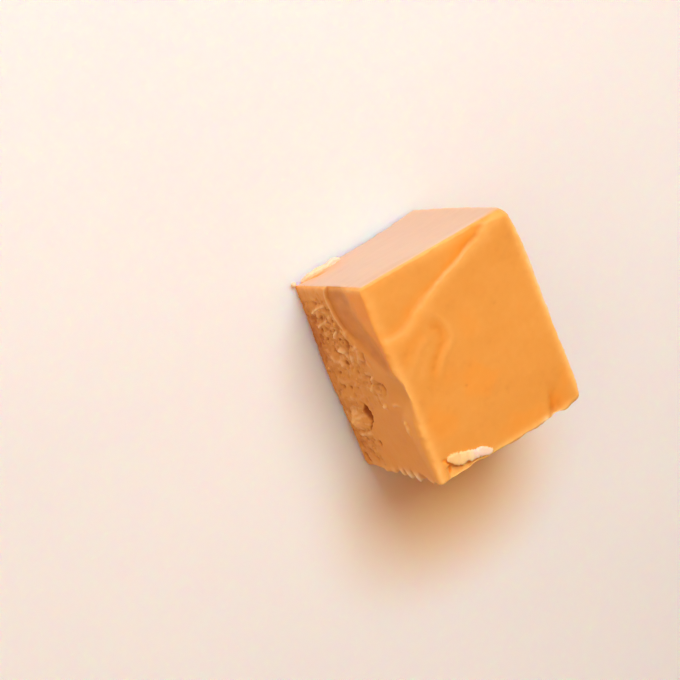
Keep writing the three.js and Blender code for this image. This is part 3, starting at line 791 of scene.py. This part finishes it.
def sliver(path, widths, across, thickness, ragged, seed, steps=90, sides=20):
    """A closed strip with blunt, ragged edges along a path in mm, as points and faces.

    across is the direction in which its widths are measured, and its thickness is square to that. Its
    section is a box with rounded corners, and its ends close to a stub.
    """
    reach = np.linspace(0, len(path) - 1, steps)
    rows = [np.interp(reach, np.arange(len(path)), column) for column in (*path.T, widths)]
    spine = np.stack(rows[:3], 1)
    across = rows[3][:, None, None] * np.array(across, float)
    run = np.gradient(spine, axis=0)
    normal = np.cross(run, across[:, 0])
    normal /= np.linalg.norm(normal, axis=1)[:, None]
    t = np.linspace(0, 1, steps)
    full = np.sqrt(np.maximum(0.001, 1 - (2 * t - 1) ** 6))[:, None, None]
    angle = np.linspace(0, 2 * np.pi, sides, endpoint=False)
    section = np.stack([np.cos(angle), np.sin(angle)])
    wide, thick = (np.sign(section) * np.abs(section) ** 0.7 / 2)[:, :, None]
    offsets = full * (wide * across + thick * thickness * normal[:, None])
    smooth = (spine[:, None] + offsets).reshape(-1, 3)
    jitter = fractal(smooth * (1, 1, 1.6), 1.1, 3, seed).reshape(steps, sides, 1)
    points = (spine[:, None] + offsets * (1 + ragged * jitter)).reshape(-1, 3)
    ring = np.arange(sides)
    faces = []
    for i in range(steps - 1):
        a, b = i * sides + ring, i * sides + np.roll(ring, -1)
        faces += np.stack([a, b, b + sides, a + sides], 1).tolist()
    faces += [ring[::-1].tolist(), (ring + (steps - 1) * sides).tolist()]
    return points, faces


def outward(obj):
    """Turns the faces of a closed mesh outwards."""
    work = bmesh.new()
    work.from_mesh(obj.data)
    bmesh.ops.recalc_face_normals(work, faces=work.faces)
    work.to_mesh(obj.data)
    work.free()


def top_sliver_mesh(size):
    """The pale strip lifted from the poured top beside the broken edge."""
    *path, widths = np.array(TOP_SLIVER).T
    path = np.stack(path, 1) + (0, 0, size[2])
    path += corner_shift(path, size)
    return sliver(path, widths, TOP_SLIVER_ACROSS, TOP_SLIVER_THICKNESS, ragged=0.4, seed=8)


def base_curl_mesh(size):
    """The thin curl pushed out along the foot of the clean cut."""
    near, far = (shift[0] for *_, shift in CORNER_SHIFTS[:2])
    y, reach, height, widths = np.array(BASE_CURL).T
    foot = near + (far - near) * y / size[1]
    path = np.stack([foot - reach + 0.5, y, height - BASE_CURL_THICKNESS / 2], 1)
    return sliver(path, widths, BASE_CURL_ACROSS, BASE_CURL_THICKNESS, ragged=0.224, seed=11)


def corner_blob_mesh(_size):
    """A dry crumb stuck to the foot of the clean cut's near corner."""
    (x, y, z), radius = CORNER_BLOB
    work = bmesh.new()
    bmesh.ops.create_icosphere(work, subdivisions=3, radius=radius)
    points = np.array([v.co * (1 + 0.3 * noise.noise(v.co * 3)) + Vector((x, y, z)) for v in work.verts])
    faces = [[v.index for v in f.verts] for f in work.faces]
    work.free()
    return points, faces


def strip_masks(points):
    """The masks of a lifted strip: dry and pale, and palest at its far end, partly a painted highlight where
    it catches the light.
    """
    masks = {name: np.zeros(len(points)) for name in ("crumbled", "tone", "glow", "clean")}
    masks["rim"] = np.ones(len(points))
    x, y = points[:, 0], points[:, 1]
    cream, more, start, whole = BASE_CURL_CREAM
    on_cut = cream + more * ramp(y, start, whole)
    masks["cream"] = np.where(x < CLEAN_CUT_SIDE, on_cut, profile(y, TOP_SLIVER_CREAM))
    return masks


def store_masks(mesh, places, masks):
    """Writes each mask on the mesh's points, from the nearest of the places it was worked out at."""
    tree = kdtree.KDTree(len(places))
    for i, place in enumerate(places.tolist()):
        tree.insert(place, i)
    tree.balance()
    nearest = [tree.find(v.co)[1] for v in mesh.vertices]
    for name, values in masks.items():
        attribute = mesh.attributes.new(name, "FLOAT", "POINT")
        attribute.data.foreach_set("value", values[nearest].astype(np.float32))


class FUDGE_OT_block(bpy.types.Operator):
    """Carve the block with its relief and slivers, and give it its finish"""

    bl_idname = "fudge.block"
    bl_label = "Fudge block"

    def execute(self, context):
        sizes = context.scene.fudge_block
        counts = (
            round(sizes.length / sizes.pitch),
            round(sizes.width / sizes.pitch_across),
            round(sizes.thickness / sizes.pitch),
        )
        shares, quads = lattice_shell(counts)
        points, masks = carve_block(shares, sizes)
        places = [placed(points)]
        block = mesh_object("fudge_lattice", places[0], quads)
        strips = []
        for make in (top_sliver_mesh, base_curl_mesh, corner_blob_mesh):
            points, faces = make(size_in_mm(sizes))
            dry = strip_masks(points)
            masks = {name: np.append(values, dry[name]) for name, values in masks.items()}
            places.append(placed(points))
            strips.append(mesh_object(make.__name__, places[-1], faces))
            outward(strips[-1])
            union = block.modifiers.new(make.__name__, "BOOLEAN")
            union.operation = "UNION"
            union.solver = "MANIFOLD"
            union.object = strips[-1]
        thin = block.modifiers.new("thin", "DECIMATE")
        thin.ratio = min(1, sizes.triangles / (2 * len(quads)))
        fudge = baked(block, "fudge_block")
        for strip in strips:
            bpy.data.objects.remove(strip)
        store_masks(fudge.data, np.concatenate(places), masks)
        fudge.data.shade_smooth()
        colours = context.scene.fudge_colours
        fudge.data.materials.clear()
        fudge.data.materials.append(caramel_finish(colours, "Caramel fudge", 0.25, 0.0))
        fudge.data.materials.append(caramel_finish(colours, "Clean-cut caramel fudge", 0.5, 0.4))
        share = np.array([a.value for a in fudge.data.attributes["clean"].data])
        for polygon in fudge.data.polygons:
            polygon.material_index = int(share[list(polygon.vertices)].mean() > 0.5)
        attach(fudge, BODY)
        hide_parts(CAD_NODE)
        return {"FINISHED"}


# ---------------------------------------------------------------- nodes


class NodeBench:
    """Shorthand for building the nodes of a node tree."""

    def __init__(self, tree):
        self.nodes, self.links = tree.nodes, tree.links

    def put(self, socket, value):
        """Links a node output to a socket, or sets the socket's own value."""
        if isinstance(value, bpy.types.NodeSocket):
            self.links.new(value, socket)
        else:
            socket.default_value = value

    def node(self, kind, inputs=(), **settings):
        """A new node with its settings, and with inputs put in by name or number."""
        node = self.nodes.new(kind)
        for name, value in settings.items():
            setattr(node, name, value)
        for name, value in dict(inputs).items():
            self.put(node.inputs[name], value)
        return node

    def maths(self, operation, a, b, clamp=False):
        """Two values put together by an operation."""
        return self.node("ShaderNodeMath", {0: a, 1: b}, operation=operation, use_clamp=clamp).outputs[0]


# ---------------------------------------------------------------- crumbs

FULL_TURN = 6.28  # radians
RARITY = 3  # the higher, the rarer are large crumbs


def crumb_mesh():
    """One lumpy crumb of radius 1, with a few dozen faces."""
    mesh = bpy.data.meshes.new("crumb")
    work = bmesh.new()
    bmesh.ops.create_uvsphere(work, u_segments=8, v_segments=5, radius=1)
    for v in work.verts:
        v.co *= 1 + 0.35 * noise.noise(v.co * 1.7 + Vector((3, 1, 2)))
    work.to_mesh(mesh)
    work.free()
    return mesh


def crumb_tree(material):
    """Geometry Nodes: crumbs set at random on the crumbled faces, larger ones rarer."""
    tree = bpy.data.node_groups.new("Fudge crumbs", "GeometryNodeTree")
    keys = {}
    kinds = {
        "Geometry": "Geometry", "Density": "Float", "Smallest": "Float", "Largest": "Float", "Seed": "Int",
        "Crumb": "Object",
    }
    for name, kind in kinds.items():
        socket = tree.interface.new_socket(name, in_out="INPUT", socket_type="NodeSocket" + kind)
        keys[name] = socket.identifier
    tree.interface.new_socket("Geometry", in_out="OUTPUT", socket_type="NodeSocketGeometry")

    bench = NodeBench(tree)
    start = bench.node("NodeGroupInput").outputs
    share = bench.node("GeometryNodeInputNamedAttribute", {"Name": "crumbled"}, data_type="FLOAT")
    density = bench.maths("MULTIPLY", share.outputs["Attribute"], start["Density"])
    scatter = bench.node(
        "GeometryNodeDistributePointsOnFaces",
        {"Mesh": start["Geometry"], "Density": density, "Seed": start["Seed"]},
    )
    lot = bench.node("FunctionNodeRandomValue", {"Seed": start["Seed"]})
    rarer = bench.maths("POWER", lot.outputs[1], RARITY)
    size = bench.node(
        "ShaderNodeMapRange", {"Value": rarer, "To Min": start["Smallest"], "To Max": start["Largest"]}
    )
    turn = bench.node(
        "FunctionNodeRandomValue", {"Max": (FULL_TURN, FULL_TURN, FULL_TURN), "Seed": start["Seed"]},
        data_type="FLOAT_VECTOR",
    )
    source = bench.node("GeometryNodeObjectInfo", {"Object": start["Crumb"]})
    place = bench.node("GeometryNodeInstanceOnPoints", {
        "Points": scatter.outputs["Points"], "Instance": source.outputs["Geometry"],
        "Rotation": turn.outputs[0], "Scale": size.outputs["Result"],
    })
    real = bench.node("GeometryNodeRealizeInstances", {"Geometry": place.outputs["Instances"]})
    done = bench.node("GeometryNodeSetMaterial", {"Geometry": real.outputs[0], "Material": material})
    bench.node("NodeGroupOutput", {"Geometry": done.outputs["Geometry"]})
    return tree, keys


class FUDGE_OT_crumbs(bpy.types.Operator):
    """Scatter crumbs, fused to the block, over its crumbled and torn faces"""

    bl_idname = "fudge.crumbs"
    bl_label = "Fudge crumbs"

    def execute(self, context):
        sizes = context.scene.fudge_crumbs
        block = bpy.data.objects["fudge_block"]
        area = sum(p.area for p in block.data.polygons)
        tree, keys = crumb_tree(crumb_finish(context.scene.fudge_colours))
        seedling = new_object("crumb", crumb_mesh())
        host = new_object("fudge_crumbs_host", block.data)
        nodes = host.modifiers.new("crumbs", "NODES")
        nodes.node_group = tree
        values = {
            "Density": sizes.count / area, "Smallest": sizes.smallest, "Largest": sizes.largest,
            "Seed": sizes.seed, "Crumb": seedling,
        }
        for name, value in values.items():
            nodes[keys[name]] = value
        crumbs = baked(host, "fudge_crumbs")
        bpy.data.objects.remove(seedling)
        for v in crumbs.data.vertices:
            v.co.z = max(v.co.z, 0)
        crumbs.data.shade_smooth()
        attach(crumbs, BODY)
        return {"FINISHED"}


# ---------------------------------------------------------------- finishes


class Finish(NodeBench):
    """Shorthand for building a material."""

    def __init__(self, name):
        self.material = bpy.data.materials.new(name)
        self.material.use_nodes = True
        super().__init__(self.material.node_tree)
        self.place = self.node("ShaderNodeTexCoord").outputs["Object"]

    def shade(self, values):
        """Sets inputs of the material's shader by name."""
        for name, value in values.items():
            self.put(self.nodes["Principled BSDF"].inputs[name], value)

    def mask(self, name):
        """A mask that is stored on the mesh."""
        return self.node("ShaderNodeAttribute", attribute_name=name).outputs["Fac"]

    def part(self, mask, share):
        """A share of a mask, kept between 0 and 1."""
        return self.maths("MULTIPLY", mask, share, clamp=True)

    def clouds(self, scale, detail, stretch=(1, 1, 1)):
        """Cloudy noise from 0 to 1."""
        place = self.node("ShaderNodeMapping", {"Vector": self.place, "Scale": stretch}).outputs[0]
        cloud = self.node("ShaderNodeTexNoise", {"Vector": place, "Scale": scale, "Detail": detail})
        return cloud.outputs["Fac"]

    def span(self, value, low, high, out_low=0.0, out_high=1.0):
        """A value smoothly carried over from one range to another."""
        ends = {"Value": value, "From Min": low, "From Max": high, "To Min": out_low, "To Max": out_high}
        return self.node("ShaderNodeMapRange", ends, interpolation_type="SMOOTHSTEP").outputs["Result"]

    def mix(self, share, a, b, blend):
        """Colour a with a share of colour b blended in."""
        colours = [c if isinstance(c, bpy.types.NodeSocket) else (*c, 1) for c in (a, b)]
        node = self.node("ShaderNodeMix", data_type="RGBA", blend_type=blend)
        for socket, value in zip((0, 6, 7), (share, *colours)):
            self.put(node.inputs[socket], value)
        return node.outputs[2]

    def bump(self, height, distance, strength, below=None):
        """Fine relief, laid over the relief below it."""
        node = self.node("ShaderNodeBump", {"Height": height, "Distance": distance, "Strength": strength})
        if below is not None:
            self.put(node.inputs["Normal"], below)
        return node.outputs["Normal"]


def caramel_finish(colours, name, gloss, bloom):
    """Satin caramel: smooth and honey-coloured on top, pale on the clean cut, partly by a painted reflection,
    deeper where crumbled.

    gloss is the strength of its reflections, and bloom that of the dry haze on a knife-cut face.
    """
    bench = Finish(name)
    crumbled, tone, cream = bench.mask("crumbled"), bench.mask("tone"), bench.mask("cream")
    clean, rim, glow = bench.mask("clean"), bench.mask("rim"), bench.mask("glow")

    clouds = bench.span(bench.clouds(90, 4), 0.3, 0.7)
    body = colours.caramel
    # The masks paint light and shade as well as colour: rim and cream carry painted highlights, tone painted
    # highlight and painted shade, glow painted shade and painted light, blush partly a painted reflection.
    for share, colour, blend in (
        (bench.part(clouds, 0.12), colours.honey, "MIX"),
        (crumbled, colours.toffee, "MIX"),
        # Partly painted reflection: the clean cut is painted paler.
        (bench.part(clean, 0.9), colours.blush, "MIX"),
        (bench.part(glow, 0.9), colours.amber, "MIX"),
        # Painted highlight, partly wear: the rims are painted lighter, and the strongest paler still.
        (bench.part(rim, 0.85), colours.honey, "MIX"),
        (bench.span(rim, 1, 2, 0, 0.7), colours.cream, "MIX"),
        (bench.part(tone, 0.5), colours.honey, "MIX"),
        (bench.span(tone, 0, -1, 0, 0.95), colours.shade, "MULTIPLY"),
        (bench.span(tone, -1, -2, 0, 0.95), colours.shade, "MULTIPLY"),
        (bench.part(cream, 0.9), colours.cream, "MIX"),
        (bench.span(cream, 1, 1.6), colours.milk, "MIX"),
    ):
        body = bench.mix(share, body, colour, blend)

    grain = bench.bump(bench.clouds(1400, 4), 0.02 * MM, bench.span(crumbled, 0, 1, 0.35, 1.0))
    drag = bench.bump(bench.clouds(260, 3, (0.35, 1.2, 1.2)), 0.03 * MM, 0.2, below=grain)
    bench.shade({
        "Base Color": body,
        "Roughness": bench.span(crumbled, 0, 1, colours.roughness, 0.7),
        "IOR": CARAMEL_IOR,
        "Specular IOR Level": gloss,
        "Sheen Weight": bloom,
        "Sheen Roughness": 0.4,
        "Subsurface Weight": 0.35,
        "Subsurface Radius": CARAMEL_SCATTER,
        "Subsurface Scale": BLOCK_SCATTER_REACH * MM,
        "Normal": drag,
    })
    return bench.material


def crumb_finish(colours):
    """Crumbs: duller and a little paler than the block."""
    bench = Finish("Fudge crumb")
    paler = bench.span(bench.clouds(700, 3), 0.3, 0.8)
    bench.shade({
        "Base Color": bench.mix(paler, colours.toffee, colours.honey, "MIX"),
        "Roughness": 0.7,
        "Specular IOR Level": 0.2,
        "Subsurface Weight": 0.3,
        "Subsurface Radius": CARAMEL_SCATTER,
        "Subsurface Scale": CRUMB_SCATTER_REACH * MM,
        "Normal": bench.bump(bench.clouds(2500, 3), 0.02 * MM, 0.6),
    })
    return bench.material


# ---------------------------------------------------------------- stage


def studio_floor(colour, cast):
    """A broad plain floor, with a painted warm shadow on it beyond the block's torn end."""
    corners = FLOOR_HALF * np.array([(-1, -1, 0), (1, -1, 0), (1, 1, 0), (-1, 1, 0)])
    floor = mesh_object("floor", corners, [(0, 1, 2, 3)])
    bench = Finish("Studio floor")
    paler = tuple(min(1, c * 1.03) for c in colour)
    base = bench.mix(bench.span(bench.clouds(9, 2), 0.3, 0.7), colour, paler, "MIX")
    # Painted shadow: a warm tint multiplied into the floor round the place beyond the torn end.
    spot = bench.node("ShaderNodeMapping", {
        "Vector": bench.place,
        "Location": (PAINTED_SHADOW_AT[0] * MM, PAINTED_SHADOW_AT[1] * MM, 0),
        "Scale": (PAINTED_SHADOW_REACH[0] * MM, PAINTED_SHADOW_REACH[1] * MM, 1),
    }, vector_type="TEXTURE")
    fade = bench.node("ShaderNodeTexGradient", {"Vector": spot.outputs[0]}, gradient_type="SPHERICAL")
    share = bench.span(fade.outputs["Fac"], 0, 1)
    bench.shade({
        "Base Color": bench.mix(share, base, cast, "MULTIPLY"),
        "Roughness": 0.55,
        "Subsurface Weight": 0.85,
        "Subsurface Radius": FLOOR_SCATTER,
        "Subsurface Scale": FLOOR_SCATTER_REACH * MM,
    })
    floor.data.materials.append(bench.material)


def soft_light(name, direction, side, power, colour, strength):
    """A large square light that faces the block."""
    data = bpy.data.lights.new(name, "AREA")
    data.shape = "SQUARE"
    data.size = side
    data.energy = power * strength
    data.color = colour
    light = new_object(name, data)
    away = Vector(direction).normalized()
    light.location = away * LIGHT_DISTANCE + Vector(LIGHT_AIM)
    light.rotation_euler = away.to_track_quat("Z", "Y").to_euler()


class FUDGE_OT_stage(bpy.types.Operator):
    """Set up the floor, the soft lights and the camera"""

    bl_idname = "fudge.stage"
    bl_label = "Studio stage"

    def execute(self, context):
        stage = context.scene.fudge_stage
        studio_floor(stage.floor, stage.cast)
        soft_light("key", *KEY, stage.key_light)
        soft_light("fill", *FILL, stage.key_light)
        world = bpy.data.worlds.new("surround")
        world.use_nodes = True
        background = world.node_tree.nodes["Background"]
        background.inputs["Color"].default_value = SURROUND_COLOUR
        background.inputs["Strength"].default_value = stage.surround
        context.scene.world = world
        self.camera(context, stage)
        context.scene.view_settings.view_transform = "Standard"
        return {"FINISHED"}

    def camera(self, context, stage):
        """Places the camera from the near clean corner of the block's top."""
        az, el = stage.azimuth, stage.elevation
        forward = Vector((math.sin(az) * math.cos(el), math.cos(az) * math.cos(el), -math.sin(el)))
        data = bpy.data.cameras.new("camera")
        data.sensor_width = SENSOR_WIDTH
        data.lens = stage.lens
        data.clip_start = 0.01
        camera = new_object("camera", data)
        turn = (-forward).to_track_quat("Z", "Y").to_matrix()
        roll = Matrix.Rotation(stage.roll, 3, "Z")
        corner = Vector(base_corner()) + Vector((0, 0, context.scene.fudge_block.thickness))
        place = corner + Vector(CAMERA_FROM_CORNER) * MM
        camera.matrix_world = Matrix.Translation(place) @ (turn @ roll).to_4x4()
        context.scene.camera = camera


class FUDGE_PT_panel(bpy.types.Panel):
    """Lists the fudge block's operators"""

    bl_label = "Fudge"
    bl_idname = "FUDGE_PT_panel"
    bl_space_type = "VIEW_3D"
    bl_region_type = "UI"
    bl_category = "Fudge"

    def draw(self, context):
        for group, operator in (
            ("fudge_block", FUDGE_OT_block),
            ("fudge_crumbs", FUDGE_OT_crumbs),
            ("fudge_colours", None),
            ("fudge_stage", FUDGE_OT_stage),
        ):
            settings = getattr(context.scene, group)
            box = self.layout.box()
            for name in settings.__annotations__:
                box.prop(settings, name)
            if operator:
                box.operator(operator.bl_idname)


GROUPS = {
    "fudge_block": FudgeBlockSizes,
    "fudge_crumbs": FudgeCrumbSizes,
    "fudge_colours": FudgeColours,
    "fudge_stage": FudgeStageSizes,
}
CLASSES = (*GROUPS.values(), FUDGE_OT_block, FUDGE_OT_crumbs, FUDGE_OT_stage, FUDGE_PT_panel)


def register():
    for cls in CLASSES:
        bpy.utils.register_class(cls)
    for name, group in GROUPS.items():
        setattr(bpy.types.Scene, name, PointerProperty(type=group))


def unregister():
    for name in GROUPS:
        delattr(bpy.types.Scene, name)
    for cls in reversed(CLASSES):
        bpy.utils.unregister_class(cls)


def main():
    register()
    bpy.ops.fudge.block()
    bpy.ops.fudge.crumbs()
    bpy.ops.fudge.stage()


if __name__ == "__main__":
    main()
